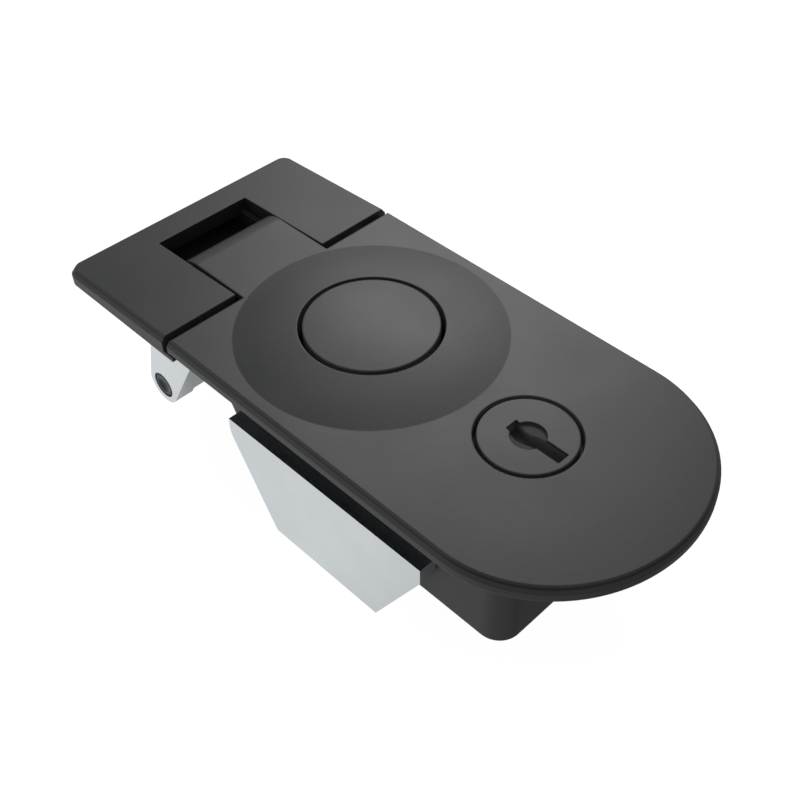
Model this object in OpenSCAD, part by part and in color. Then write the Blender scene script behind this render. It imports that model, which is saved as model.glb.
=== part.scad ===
// Push-button lever latch with key lock, for a panel door.
// Origin: button axis on the panel seat (underside of the flange).
// +X runs to the lock and the round end, +Z points out of the panel.

/* [Plate] */
// Width of the flange and of the lever
plate_w = 57.85; // [54:0.1:66]
// Thickness of the flange above the panel
plate_t = 3; // [2.8:0.1:5]
// Distance from the button axis to the start of the round end
round_x = 44.2; // [40:0.2:52]
// Length of the round end
end_l = 26.2; // [24:0.1:28]
// Distance from the button axis to the flange's straight edge
split_x = 24.6; // [24:0.2:28]
// Radius along the upper edges
edge_r = 0.55; // [0.4:0.05:1]
// Width of the sloping edge round the plate, seen from above
edge_in = 0.95; // [0.6:0.05:1.2]
// Height of the sloping edge round the plate
edge_down = 1.25; // [0.8:0.05:1.5]
// Radius along the flange's lower edge
low_r = 0.4; // [0.2:0.1:0.6]
// Radius round the rims of the button's and the lock's holes
rim_r = 0.2; // [0.1:0.05:0.4]

/* [Dome and button] */
// Radius of the dome where it meets the flange
dome_r = 25.8; // [22:0.2:27]
// Height of the dome above the flange
dome_h = 2.25; // [1:0.05:4]
// Radius of the push button
button_r = 12.9; // [10:0.1:13.4]
// Gap all round the button
button_gap = 0.8; // [0.4:0.1:1.2]
// Thickness of the button's cap
cap_t = 2.6; // [1.5:0.1:3.2]
// Wall of the button's skirt
skirt_t = 1.8; // [1.2:0.1:3]
// How far the button's two tabs reach under the flange
tab_reach = 0.9; // [0.6:0.1:1.2]
// Travel of the button and of the catch
travel = 3.5; // [2:0.1:3.8]
// Length of the button's stem along X
stem_x = 5; // [4:0.2:6]
// Width of the button's stem along Y
stem_y = 6; // [4:0.2:7]

/* [Lever] */
// Distance from the button axis to the lever's free end
lever_x = 58.3; // [56:0.1:66]
// Gap between the lever's arms and the flange
split_gap = 1.5; // [1.3:0.1:2]
// How far the lever reaches below the flange's underside
lever_drop = 1.3; // [1.2:0.1:2]
// How far the lever's top falls towards its free end
lever_fall = 1.2; // [0:0.1:1.6]
// Radius of the lever's two outer corners
corner_r = 3; // [2:0.2:6]
// Width of the notch between the arms
notch_w = 22.5; // [20:0.5:26]
// Width of the bar that the finger pulls
bar_w = 7.5; // [5:0.1:9]
// Gap between the tongue and each arm
tongue_gap = 0.5; // [0.3:0.05:0.8]
// Finger gap between the tongue's nose and the bar
finger_gap = 5.4; // [4.6:0.1:8]
// Radius of the tongue's rolled nose
nose_r = 6.8; // [5:0.2:7.4]
// Depth of the nose below the flange's top
nose_drop = 8; // [7:0.2:10]
// Wall of the finger well in front of the tongue
well_t = 1.3; // [1:0.1:2]
// Depth of the finger well's side walls below the top
well_side = 3.3; // [2.8:0.1:3.6]
// How far the finger well reaches under the bar
well_reach = 4.5; // [4:0.1:5]
// Distance from the end of the arms to the hinge axis
hinge_inset = 3.4; // [3:0.1:4]
// Depth of the hinge axis below the top
hinge_drop = 2.5; // [2.4:0.05:2.6]
// Radius of the hinge pin
hinge_pin_r = 1.5; // [1.2:0.05:1.6]
// How far the hinge pin enters each arm
hinge_socket = 8; // [5:0.5:12]
// Angle through which the lever lifts
lift = 48; // [40:1:50]
// Thickness of each drive lug
lug_t = 3.8; // [3:0.1:4]
// Radius of a drive lug round its pin
lug_r = 4; // [3.6:0.1:4.4]
// Radius of the drive pin
drive_pin_r = 2; // [1.6:0.1:2.2]
// Radius of the catch pin
catch_pin_r = 1.6; // [1.2:0.1:1.8]
// Distance from the drive pin to the catch pin
tail_reach = 8.4; // [8:0.1:9.5]
// Rise of the catch pin's arm, in degrees
tail_rise = 15; // [10:1:20]
// Thickness of the lip under the flange
lip_t = 1; // [0.8:0.05:1]
// How far the lip's round end lies under the flange
lip_reach = 1; // [0.4:0.1:1.2]

/* [Bracket and pawl] */
// Distance of the pawl pivot from the button axis
pivot_x = 37.6; // [37:0.2:40]
// Depth of the pawl pivot below the flange's underside
pivot_z = 20.2; // [19:0.2:24]
// Radius of an ear round the pivot
ear_r = 4.2; // [4:0.1:6]
// Outer width over the two ears
ears_w = 48; // [46:0.5:52]
// Thickness of an ear's outer plate
ear_t = 4.4; // [3:0.2:6]
// Thickness of an ear's inner rib
rib_t = 4; // [3:0.2:5]
// Step of the inner rib behind the outer plate's edges
rib_step = 0.4; // [0.2:0.1:0.8]
// Lean of an ear's edge on the lever side, in degrees
lean_front = 14; // [8:1:18]
// Lean of an ear's edge on the housing side, in degrees
lean_back = 29; // [26:1:32]
// Gap between the lever's underside and the ears
ear_gap = 3.3; // [2.4:0.1:4]
// Thickness of the bracket's foot
foot_t = 2.5; // [2:0.1:3]
// Radius of the pawl pin
pawl_pin_r = 2.5; // [2:0.1:2.8]
// Depth of the pin's ends inside the ears
pin_recess = 1; // [0.4:0.1:2]
// Radius of the pawl's hub
hub_r = 5.6; // [5:0.1:6]
// Thickness of each of the pawl's side plates
side_t = 4; // [3:0.2:5]
// Gap between a lug and the pawl beside it
lug_gap = 0.8; // [0.4:0.1:1.2]
// Wall of the pawl's fork on each side of its slot
fork_wall = 2; // [1.6:0.1:2.4]
// Side play of the drive pin in the fork's slot
slot_play = 0.65; // [0.6:0.05:0.8]
// Reach of the pawl's tip from its pivot
pawl_reach = 18; // [16:0.5:20]
// Height of the pawl's tip above its pivot
pawl_rise = 6; // [4:0.5:7]
// Length of the pawl's flat tip
tip_l = 4; // [3:0.2:6]
// Depth of the pawl's arm
arm_h = 7; // [6:0.2:9]
// Radius of each spacer on the pawl pin
spacer_r = 3.8; // [3.4:0.1:4]
// Wire radius of the kick spring
kick_wire_r = 0.5; // [0.4:0.05:0.6]
// Turns of the kick spring
kick_turns = 3; // [2:1:3]

/* [Housing box] */
// Width of the box behind the panel
box_w = 46.8; // [46:0.2:50]
// Distance from the button axis to the box's far end
box_right = 54.2; // [54:0.2:60]
// Distance from the button axis to the box's sloping end, at the panel
box_left = 19.5; // [19:0.1:20]
// How far the sloping end runs in over the depth
slope_run = 10; // [6:0.5:10]
// Depth of the box behind the panel seat
box_depth = 19; // [18.8:0.2:22]
// Wall of the box
wall = 2.5; // [2:0.1:3]
// Radius of the box's upright corners
box_corner = 4.4; // [4:0.2:6]
// Thickness of the rear cover
cover_t = 2; // [1.5:0.1:2.4]
// Thickness of the guide bridge
bridge_t = 1.5; // [1.2:0.1:2]
// Distance of the bridge's posts in from the box's sides
post_inset = 5; // [4.6:0.1:5.2]
// Radius of the bridge's posts
post_r = 2.8; // [2.4:0.1:2.8]
// Distance of the cover's screws in from the box's sides
cover_inset = 5; // [4.6:0.1:5.6]
// Distance from the button axis to the cover's near screws
cover_near_x = 8.5; // [8:0.1:9]
// Distance of the cover's far screws in from the box's far end
cover_far_inset = 5.7; // [5.4:0.1:6.4]

/* [Catch] */
// Thickness of the catch plate
catch_t = 2; // [1.5:0.1:2.4]
// Width of the catch plate
catch_w = 12; // [11:0.2:14]
// Distance from the button axis to the catch plate's far end
catch_right = 22.4; // [22:0.1:23]
// Wire radius of the catch spring
catch_wire_r = 0.35; // [0.25:0.05:0.4]
// Coil radius of the catch spring
catch_coil_r = 1.8; // [1.4:0.1:2]
// Distance from the button axis to the spring's post
catch_post_x = 18.5; // [18.3:0.1:19]
// Length of the catch spring at rest
catch_spring_l = 8; // [7:0.1:8.2]
// Wire radius of the button spring
button_wire_r = 0.55; // [0.4:0.05:0.7]
// Coil radius of the button spring
button_coil_r = 7.6; // [6:0.1:8]
// Turns of the button spring
button_turns = 4; // [3:1:5]

/* [Lock] */
// Distance from the button axis to the lock axis
lock_x = 38.1; // [37.8:0.1:39]
// Radius of the lock's face
face_r = 8.9; // [8:0.1:9.2]
// Gap all round the lock's face
lock_gap = 0.6; // [0.3:0.1:0.8]
// Radius of the plug below its face
plug_r = 7.9; // [7:0.1:8]
// Outer radius of the lock's sleeve
sleeve_r = 11; // [10.5:0.1:11.4]
// Thickness of the retaining ring
ring_t = 0.8; // [0.6:0.1:0.8]
// Length of the key slot
key_l = 11.5; // [8:0.5:12]
// Width of the key slot
key_w = 2.6; // [1.6:0.1:3]
// Depth of the key slot
key_depth = 2.4; // [1:0.1:2.8]
// Distance of the key slot's end from the rim of the lock's face
key_inset = 1.25; // [1:0.05:2]
// Sideways bow of the key slot
key_bow = 0.7; // [0:0.1:1]
// Radius of the round keyhole
keyhole_r = 3.2; // [2.5:0.1:3.6]
// Thickness of the lock's cam
cam_t = 2; // [1.5:0.1:2.5]
// Width of the cam's arm
cam_w = 8; // [7:0.2:10]

/* [Clamp] */
// Length of the clamp's upper edge
clamp_top_l = 48.8; // [44:0.2:54]
// Length of the clamp's lower edge
clamp_foot_l = 27; // [24:0.5:32]
// Gap left for the panel and its packing
panel_gap = 5.9; // [4.6:0.1:7]
// Height of the clamp's upright ends
clamp_end_h = 3.5; // [2:0.1:5]
// Height of the clamp
clamp_h = 22.6; // [22.4:0.2:26]
// How far the clamp's side plates stand in from the flange's edges
clamp_inset = 0.55; // [0.2:0.05:1]
// Thickness of the clamp's side plates
clamp_t = 3.6; // [2.5:0.1:3.9]
// Thickness of the clamp's web
web_t = 3; // [2:0.1:4]
// Distance from the button axis to the clamp's centre
clamp_x = 15.9; // [15.6:0.1:16.4]
// Distance of the clamp screws in from the box's sides
clamp_screw_inset = 8.4; // [8:0.1:8.8]
// Radius of the clamp screws
clamp_screw_r = 2.4; // [2:0.1:2.5]
// Radius of the corners between the clamp's ends and its tapered edges
clamp_round = 5; // [3:0.5:6]

/* [Screws] */
// Radius of the small screws
screw_r = 1.5; // [1.3:0.05:1.5]
// Head radius of the small screws
small_head_r = 2.3; // [2.1:0.1:2.4]
// Head height of the small screws
small_head_h = 1.8; // [1.4:0.1:2]
// Thread length of the bridge's screws
bridge_thread = 5.5; // [4:0.5:6]
// Thread length of the cover's screws
cover_thread = 7; // [5:0.5:8]
// Radius of the bracket's screws
foot_screw_r = 1.25; // [1.1:0.05:1.3]
// Head radius of the bracket's screws
foot_head_r = 2.1; // [1.9:0.1:2.2]
// Head height of the bracket's screws
foot_head_h = 1.8; // [1.4:0.1:2]
// Skin left over the bracket's screws
foot_skin = 0.7; // [0.6:0.1:1]
// Thread length of the cam's screw
cam_thread = 6; // [5:0.5:7]
// Head radius of the cam's screw
cam_head_r = 4.4; // [4.2:0.1:4.8]
// Head height of the cam's screw
cam_head_h = 1.6; // [1.2:0.1:2]
// Depth of the clamp screws' tips below the panel seat
clamp_tip = 5; // [4:0.5:8]
// Head radius of the clamp screws
clamp_head_r = 4.2; // [4:0.1:4.6]
// Head height of the clamp screws
head_h = 3; // [2.4:0.1:4]
// Rim of a washer round its screw
washer_rim = 2.8; // [2.4:0.1:3.2]
// Thickness of a washer
washer_t = 1; // [0.8:0.1:1.4]
// Space left beyond a screw's tip
tip_gap = 0.5; // [0.4:0.1:1]

/* [Clearances] */
// Radial clearance of pins that turn and of screws in their threads
run_clear = 0.03; // [0.01:0.01:0.1]
// Clearance of sliding pieces
slide_clear = 0.15; // [0.1:0.05:0.3]
// Gap between pieces that pass each other
free_gap = 0.3; // [0.2:0.05:0.4]

/* [Hidden] */
$fn = 64;
half_w = plate_w / 2;
dome_sphere_r = (dome_r * dome_r + dome_h * dome_h) / (2 * dome_h);

// Lever, hinge and drive, as [x, z] points in the side view
arm_end = -split_x - split_gap;
lever_slope = asin(lever_fall / (lever_x + arm_end));
hinge = [arm_end - hinge_inset, plate_t - hinge_drop];
pivot = [-pivot_x, -pivot_z];
link_l = norm(pivot - hinge);
link_a = atan2(pivot[1] - hinge[1], pivot[0] - hinge[0]);
drive_r = link_l / (2 * cos(lift / 2));
drive = hinge + drive_r * dir(link_a + lift / 2);
tail = drive + tail_reach * dir(tail_rise);
notch_half = notch_w / 2;
tongue_half = notch_half - tongue_gap;
nose_x = -lever_x + bar_w + finger_gap;
lug_out = notch_half + lug_t;
sweep_r = norm([hinge_inset, plate_t - hinge_drop + lever_drop]) + 2 * free_gap;

// Pawl and bracket
pawl_half = notch_half - lug_gap;
ear_out = ears_w / 2;
ear_in = ear_out - ear_t - rib_t;
slot_half = drive_pin_r + slot_play;
pawl_a = atan2(drive[1] - pivot[1], drive[0] - pivot[0]);
slot_in = link_l - drive_r;
fork_l = norm(drive - pivot) + free_gap;
foot_left = -split_x + free_gap;
foot_right = -box_left - free_gap;
foot_screw_x = (foot_left + foot_right) / 2;
foot_screw_ys = [-ear_out + 5, -7, 7, ear_out - 5];
foot_thread = plate_t - foot_skin;

// Kick spring: its leg runs from the coil to a rest over the pawl's arm
kick_r = spacer_r + kick_wire_r + slide_clear;
arm_root = pivot + hub_r * dir(100);
arm_far = pivot + [tip_l + 1.5 - pawl_reach, pawl_rise - 2.4];
arm_u = (arm_root - arm_far) / norm(arm_root - arm_far);
kick_rest = arm_far + arm_u + (kick_wire_r + slide_clear) * [-arm_u[1], arm_u[0]] - pivot;
kick_a = atan2(kick_rest[1], kick_rest[0]) - acos(kick_r / norm(kick_rest));
kick_leg = sqrt(norm(kick_rest) * norm(kick_rest) - kick_r * kick_r);
kick_anchor = 2.5;

// Box and what it holds
cover_z = -box_depth + cover_t;
catch_top = tail[1] - catch_pin_r - free_gap;
catch_bottom = catch_top - catch_t;
catch_left = tail[0] + catch_pin_r + free_gap;
bridge_bottom = catch_top + free_gap;
bridge_top = bridge_bottom + bridge_t;
bridge_half_x = 5;
post_t = 1.8;
catch_turns = 6;
bridge_r = button_coil_r + 2.4;
cap_in_z = plate_t + dome_h - cap_t;
skirt_z = -2;
tab_top = -slide_clear;
tab_half_x = 6;
post_y = box_w / 2 - post_inset;
cover_screws_at = [
    for (x = [cover_near_x, box_right - cover_far_inset], s = [-1, 1])
        [x, s * (box_w / 2 - cover_inset)]
];
clamp_screw_y = box_w / 2 - clamp_screw_inset;
cover_boss_r = 3;
boss_r = clamp_screw_r + 2.1;
lock_boss_r = sleeve_r + 3;
lock_boss_z = catch_top + free_gap;
ring_z = lock_boss_z + run_clear;
sleeve_l = -ring_z - ring_t;
cam_top = lock_boss_z - free_gap;
cam_reach = lock_x - catch_right - travel - free_gap;
stub = 5.6;

// Clamp
clamp_top = -panel_gap;
clamp_bottom = clamp_top - clamp_h;

black = "#2f3133";
zinc = "#c9cfd2";
steel = "#8d9398";

// Unit direction in the side view
function dir(a) = [cos(a), sin(a)];

// Height of the dome's surface at radius r
function dome_z(r) =
    plate_t + dome_h - dome_sphere_r + sqrt(dome_sphere_r * dome_sphere_r - r * r);

// Sideways place of the key slot's middle at x from the lock axis
function key_mid(x) =
    let (t = (x + 0.8) / keyhole_r)
    abs(t) < 1 ? -key_bow * (1 + cos(180 * t)) / 2 : 0;

// x of the box's sloping end at height z, moved in by d
function slope_x(z, d = 0) = -box_left - slope_run * z / box_depth + d;

// Extrudes a side-view profile (x, z) from y0 to y1
module across(y0, y1) {
    translate([0, y1, 0]) rotate([90, 0, 0]) linear_extrude(y1 - y0) children();
}

// A piece and its mirror image on the other side of the latch
module both_sides() {
    children();
    mirror([0, 1, 0]) children();
}

// Cylinder across the latch about a side-view point
module bar_y(p, r, y0, y1) {
    translate([p[0], y1, p[1]]) rotate([90, 0, 0]) cylinder(r = r, h = y1 - y0);
}

// Half of a plate's section, rounded at its upper and lower outer edges
module half_section(w, z0, z1) {
    polygon([[0, z0 + low_r], [w, z0 + low_r], [w, z1 - edge_down], [w - edge_in, z1], [0, z1]]);
    translate([0, z0]) square([w - low_r, z1 - edge_down - z0]);
    translate([w - low_r, z0 + low_r]) circle(low_r);
}

// Plate section of full width, run along X
module run_x(x0, x1, w, z0, z1) {
    translate([x0, 0, 0]) rotate([90, 0, 90]) linear_extrude(x1 - x0) {
        half_section(w, z0, z1);
        mirror([1, 0]) half_section(w, z0, z1);
    }
}

// Takes the corner off a revolved edge at [r, z], from the inside of the profile
module round_off(r, z) {
    translate([r - rim_r, z - rim_r]) difference() {
        square(rim_r + 1);
        circle(rim_r);
    }
}

// Flare that rounds the rim of a hole of radius r at height z
module rim_flare(r, z) {
    rotate_extrude() difference() {
        translate([r - 0.5, z - rim_r]) square([rim_r + 0.5, rim_r + 1]);
        translate([r + rim_r, z - rim_r]) circle(rim_r);
    }
}

// Rectangle with rounded corners
module rounded(x0, x1, half, r) {
    translate([x0 + r, -half]) square([x1 - x0 - 2 * r, 2 * half]);
    translate([x0, -half + r]) square([x1 - x0, 2 * half - 2 * r]);
    for (x = [x0 + r, x1 - r], y = [-half + r, half - r])
        translate([x, y]) circle(r);
}

// Ring of a wire's section round c, spanned by the directions u and v
function wire_ring(c, u, v, r, n = 8) = [
    for (k = [0:n - 1]) c + r * cos(360 * k / n) * u + r * sin(360 * k / n) * v
];

// Radial and forward directions of a coil at angle a, and its point at height h
function out_at(a) = [cos(a), sin(a), 0];
function along_at(a) = [-sin(a), cos(a), 0];
function coil_at(R, a, h) = R * out_at(a) + [0, 0, h];

// Rings of a helical wire between two heights, measured over the wire
function coil_rings(R, r, h0, h1, turns, a0, per_turn) =
    let (steps = turns * per_turn, rise = (h1 - h0 - 2 * r) / steps)
    [
        for (i = [0:steps])
            let (a = a0 + 360 * i / per_turn)
            wire_ring(coil_at(R, a, h0 + r + rise * i), out_at(a), [0, 0, 1], r)
    ];

// Closed skin over a list of wire rings
module wire(rings) {
    n = len(rings[0]);
    m = len(rings) - 1;
    sides = [
        for (i = [0:m - 1], k = [0:n - 1])
            let (j = (k + 1) % n)
            [i * n + k, i * n + j, (i + 1) * n + j, (i + 1) * n + k]
    ];
    first = [for (k = [n - 1:-1:0]) k];
    last = [for (k = [0:n - 1]) m * n + k];
    polyhedron(points = [for (g = rings) each g], faces = concat(sides, [first, last]));
}

module coil(R, r, h0, h1, turns, a0 = 0, per_turn = 18) {
    wire(coil_rings(R, r, h0, h1, turns, a0, per_turn));
}

// Screw along -Z with its head's seat at z = 0, the shank above it
module screw(r, l, head_r, h) {
    cylinder(r = r, h = l);
    difference() {
        translate([0, 0, -h]) cylinder(r = head_r, h = h);
        translate([0, 0, -h - 1]) cylinder(r = head_r * 0.55, h = 1 + h * 0.6, $fn = 6);
    }
}

// Flange, dome and rolled tongue
module flange() {
    intersection() {
        run_x(-split_x, round_x, half_w, 0, plate_t);
        across(-half_w, half_w) {
            translate([-split_x, 0]) square([split_x + round_x, plate_t - edge_r]);
            translate([edge_r - split_x, 0]) square([split_x + round_x - edge_r, plate_t]);
            translate([edge_r - split_x, plate_t - edge_r]) circle(edge_r);
        }
    }
    translate([round_x, 0, 0]) scale([end_l / half_w, 1, 1]) rotate([0, 0, -90])
        rotate_extrude(angle = 180) half_section(half_w, 0, plate_t);
}

module dome_profile(r, z0) {
    intersection() {
        translate([0, plate_t + dome_h - dome_sphere_r]) circle(dome_sphere_r, $fn = 1440);
        translate([0, z0]) square([r, plate_t + dome_h - z0]);
    }
}

// Flat tongue with a rolled nose, a hinge boss, and a finger well in front
module tongue() {
    roll = [nose_x + nose_r, plate_t - nose_r];
    boss_left = hinge[0] - hinge_pin_r - 2;
    floor_z = plate_t - nose_drop;
    well_top = -lever_drop - 2 * free_gap;
    bar_in = -lever_x + bar_w;
    well_x = bar_in - well_reach;
    side_top = plate_t - well_side;
    across(-tongue_half, tongue_half) {
        translate([roll[0], 0]) square([-split_x + 2 - roll[0], plate_t]);
        intersection() {
            difference() {
                translate(roll) circle(nose_r);
                translate(roll) circle(nose_r - plate_t);
            }
            translate([nose_x, roll[1]]) square([nose_r, nose_r]);
        }
        translate([nose_x, floor_z]) square([plate_t, nose_drop - nose_r]);
        translate([boss_left, hinge[1] - hinge_pin_r - 1.6])
            square([-split_x - boss_left, hinge_pin_r + 1.6]);
    }
    difference() {
        across(-tongue_half, tongue_half) polygon([
            [well_x, well_top], [well_x, floor_z - well_t], [nose_x + plate_t, floor_z - well_t],
            [nose_x + plate_t, floor_z + 0.5], [nose_x + plate_t - 0.5, side_top],
            [bar_in + free_gap, side_top], [bar_in + free_gap, well_top]
        ]);
        across(-tongue_half + well_t, tongue_half - well_t) difference() {
            polygon([
                [well_x + well_t, floor_z], [nose_x, floor_z], [nose_x, floor_z + 0.5],
                [nose_x + plate_t + 1, floor_z + 0.5], [nose_x + plate_t + 1, side_top + 1],
                [well_x + well_t, side_top + 1]
            ]);
            difference() {
                translate([nose_x - 2, floor_z]) square(2);
                translate([nose_x - 2, floor_z + 2]) circle(2);
            }
        }
    }
}

// Box behind the panel: plan outline cut by the sloping end
module box_solid(inset, z0, z1) {
    intersection() {
        translate([0, 0, z0]) linear_extrude(z1 - z0)
            rounded(-box_left - 1, box_right - inset, box_w / 2 - inset, box_corner - inset / 2);
        across(-box_w, box_w)
            polygon([
                [slope_x(z0, inset * 1.15), z0], [box_right, z0],
                [box_right, z1], [slope_x(z1, inset * 1.15), z1]
            ]);
    }
}

module housing() {
    color(black) difference() {
        union() {
            flange();
            rotate_extrude() dome_profile(dome_r, plate_t - edge_r);
            tongue();
            difference() {
                box_solid(0, -box_depth, 0.5);
                box_solid(wall, -box_depth - 1, 0);
            }
            intersection() {
                union() {
                    for (y = [-post_y, post_y])
                        translate([0, y, bridge_top]) cylinder(r = post_r, h = 0.5 - bridge_top);
                    for (p = cover_screws_at)
                        translate([p[0], p[1], cover_z]) cylinder(r = cover_boss_r, h = 0.5 - cover_z);
                    for (y = [-clamp_screw_y, clamp_screw_y])
                        translate([clamp_x, y, -box_depth]) cylinder(r = boss_r, h = box_depth + 0.5);
                    translate([lock_x, 0, lock_boss_z]) cylinder(r = lock_boss_r, h = 0.5 - lock_boss_z);
                }
                box_solid(wall / 2, -box_depth, 1);
            }
        }
        // button hole
        translate([0, 0, -1]) cylinder(r = button_r + button_gap, h = plate_t + dome_h + 2);
        rim_flare(button_r + button_gap, dome_z(button_r + button_gap));
        // lock face, sleeve and ring groove
        translate([lock_x, 0, 0]) rim_flare(face_r + lock_gap, plate_t);
        translate([lock_x, 0, -1]) cylinder(r = face_r + lock_gap, h = plate_t + 2);
        translate([lock_x, 0, lock_boss_z - 1]) cylinder(r = sleeve_r + run_clear, h = 1 - lock_boss_z);
        translate([lock_x, 0, ring_z]) cylinder(r = sleeve_r + 1, h = ring_t);
        // hinge pin
        bar_y(hinge, hinge_pin_r + run_clear, -tongue_half - 1, tongue_half + 1);
        // window for the catch in the sloping end
        translate([-box_left - 1, -catch_w / 2 - free_gap, catch_bottom - free_gap])
            cube([box_left - 6, catch_w + 2 * free_gap, catch_t + 2 * free_gap]);
        // threads
        for (y = foot_screw_ys)
            translate([foot_screw_x, y, -1]) cylinder(r = foot_screw_r + run_clear, h = foot_thread + 1);
        for (y = [-post_y, post_y])
            translate([0, y, bridge_top - 1]) cylinder(r = screw_r + run_clear, h = 1 + bridge_thread + tip_gap);
        for (p = cover_screws_at)
            translate([p[0], p[1], cover_z - 1]) cylinder(r = screw_r + run_clear, h = 1 + cover_thread + tip_gap);
        for (y = [-clamp_screw_y, clamp_screw_y])
            translate([clamp_x, y, -box_depth - 1]) cylinder(r = clamp_screw_r + run_clear, h = 1 + box_depth - clamp_tip + tip_gap);
    }
}

// Lever plate with rounded upper edges and two round outer corners, falling to its free end
module lever_plate() {
    len = (lever_x + arm_end) / cos(lever_slope);
    cx = corner_r - len;
    cy = half_w - corner_r;
    low = -lever_drop - plate_t - 2;
    intersection() {
        translate([arm_end, 0, plate_t]) rotate([0, -lever_slope, 0]) {
            run_x(cx, 3, half_w, low, 0);
            across(-cy, cy) translate([cx, 0]) mirror([1, 0]) half_section(corner_r, low, 0);
            for (s = [0, 1])
                mirror([0, s, 0]) translate([cx, cy, 0]) rotate([0, 0, 90])
                    rotate_extrude(angle = 90) half_section(corner_r, low, 0);
        }
        translate([-lever_x - 1, -half_w - 1, -lever_drop])
            cube([lever_x + 1 + arm_end, plate_w + 2, plate_t + lever_drop + 1]);
    }
}

// Side view of a drive lug and the arm to the catch pin
module lug_profile() {
    tail_r = catch_pin_r + 1;
    up = dir(tail_rise + 90);
    polygon([
        [hinge[0] - 4, -lever_drop + 0.2], [hinge[0] + hinge_inset - 0.4, -lever_drop + 0.2],
        drive + lug_r * dir(10), drive - lug_r * dir(0)
    ]);
    translate(drive) circle(lug_r);
    polygon([drive + tail_r * up, tail + tail_r * up, tail - tail_r * up, drive - tail_r * up]);
    translate(tail) circle(tail_r);
}

module lever() {
    lip_in = ear_out + free_gap;
    color(black) difference() {
        union() {
            lever_plate();
            both_sides() across(notch_half, lug_out) lug_profile();
            both_sides() across(lip_in, half_w) {
                translate([arm_end - 1, -lever_drop]) square([1 + split_gap + lip_reach, lip_t]);
                translate([-split_x + lip_reach, -lever_drop + lip_t / 2]) circle(lip_t / 2);
            }
        }
        translate([-lever_x + bar_w, -notch_half, -lever_drop - 1])
            cube([lever_x, notch_w, plate_t + lever_drop + 2]);
        bar_y(hinge, hinge_pin_r + run_clear, -tongue_half - hinge_socket, tongue_half + hinge_socket);
        bar_y(drive, drive_pin_r + run_clear, -lug_out - 1, lug_out + 1);
        bar_y(tail, catch_pin_r + run_clear, -lug_out - 1, lug_out + 1);
    }
}

module hinge_pin() {
    reach = tongue_half + hinge_socket - free_gap;
    color(steel) bar_y(hinge, hinge_pin_r, -reach, reach);
}

// Side view of an ear, moved in by step
module ear_profile(step) {
    r = ear_r - step;
    top = -lever_drop - ear_gap;
    front = pivot + r * dir(180 - lean_front);
    back = pivot + r * dir(-lean_back);
    front_top = front + (top - front[1]) / cos(lean_front) * dir(90 - lean_front);
    back_top = back + (-foot_t - back[1]) / cos(lean_back) * dir(90 - lean_back);
    translate(pivot) circle(r);
    polygon([
        front, front_top, [back_top[0] - 5, top], [back_top[0] - 3, -foot_t],
        [back_top[0], -foot_t], back, pivot
    ]);
}

module latch_bracket() {
    color(zinc) difference() {
        union() {
            both_sides() across(ear_out - ear_t, ear_out) ear_profile(0);
            both_sides() across(ear_in, ear_out - ear_t) ear_profile(rib_step);
            across(-ear_out, ear_out)
                translate([foot_left, -foot_t]) square([foot_right - foot_left, foot_t]);
        }
        both_sides() bar_y(pivot, pawl_pin_r + run_clear, ear_in - 1, ear_out + 1);
        both_sides() bar_y(pivot, pawl_pin_r + 0.4, ear_out - pin_recess, ear_out + 1);
        bar_y(hinge, sweep_r, -ear_out - 1, ear_out + 1);
        bar_y(pivot + kick_r * dir(kick_a), kick_wire_r + slide_clear, -ear_in - kick_anchor, -ear_in + 1);
        for (y = foot_screw_ys)
            translate([foot_screw_x, y, -foot_t - 1]) cylinder(r = foot_screw_r + slide_clear, h = foot_t + 2);
        for (y = foot_screw_ys)
            translate([foot_screw_x, y, -foot_t - 8])
                cylinder(r = foot_head_r + slide_clear, h = 8);
    }
}

module bracket_screws() {
    color(steel) for (y = foot_screw_ys)
        translate([foot_screw_x, y, -foot_t])
            screw(foot_screw_r, foot_t + foot_thread - free_gap, foot_head_r, foot_head_h);
}

// Side view of the pawl's hub, fork and hook, without its bores
module pawl_profile(fork) {
    u = dir(pawl_a);
    v = dir(pawl_a + 90);
    w = slot_half + fork_wall;
    tip = pivot + [-pawl_reach, pawl_rise];
    difference() {
        union() {
            translate(pivot) circle(hub_r);
            if (fork)
                polygon([
                    pivot + w * v, pivot + fork_l * u + w * v,
                    pivot + fork_l * u - w * v, pivot - w * v
                ]);
            polygon([
                pivot - [0, hub_r], tip - [-2.5, arm_h + 1.5], tip - [0, 4], tip, tip + [tip_l, 0],
                tip + [tip_l + 1.5, -2.4], pivot + hub_r * dir(100)
            ]);
        }
        translate(pivot + slot_in * u) circle(slot_half);
        polygon([
            pivot + slot_in * u + slot_half * v, pivot + (fork_l + 9) * u + slot_half * v,
            pivot + (fork_l + 9) * u - slot_half * v, pivot + slot_in * u - slot_half * v
        ]);
    }
}

module pawl() {
    tip_x = pivot[0] - pawl_reach;
    color(zinc) difference() {
        union() {
            both_sides() across(pawl_half - side_t, pawl_half) pawl_profile(true);
            bar_y(pivot, hub_r, -pawl_half, pawl_half);
            intersection() {
                across(-pawl_half, pawl_half) pawl_profile(false);
                translate([tip_x - 1, -pawl_half, pivot[1] - 20]) cube([tip_l + 4, 2 * pawl_half, 40]);
            }
        }
        bar_y(pivot, pawl_pin_r + run_clear, -pawl_half - 1, pawl_half + 1);
    }
}

module pawl_pin() {
    reach = ear_out - pin_recess;
    color(steel) bar_y(pivot, pawl_pin_r, -reach, reach);
}

module pawl_spacers() {
    color(steel) both_sides() difference() {
        bar_y(pivot, spacer_r, pawl_half + slide_clear, ear_in - slide_clear);
        bar_y(pivot, pawl_pin_r + run_clear, 0, ear_out);
    }
}

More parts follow.
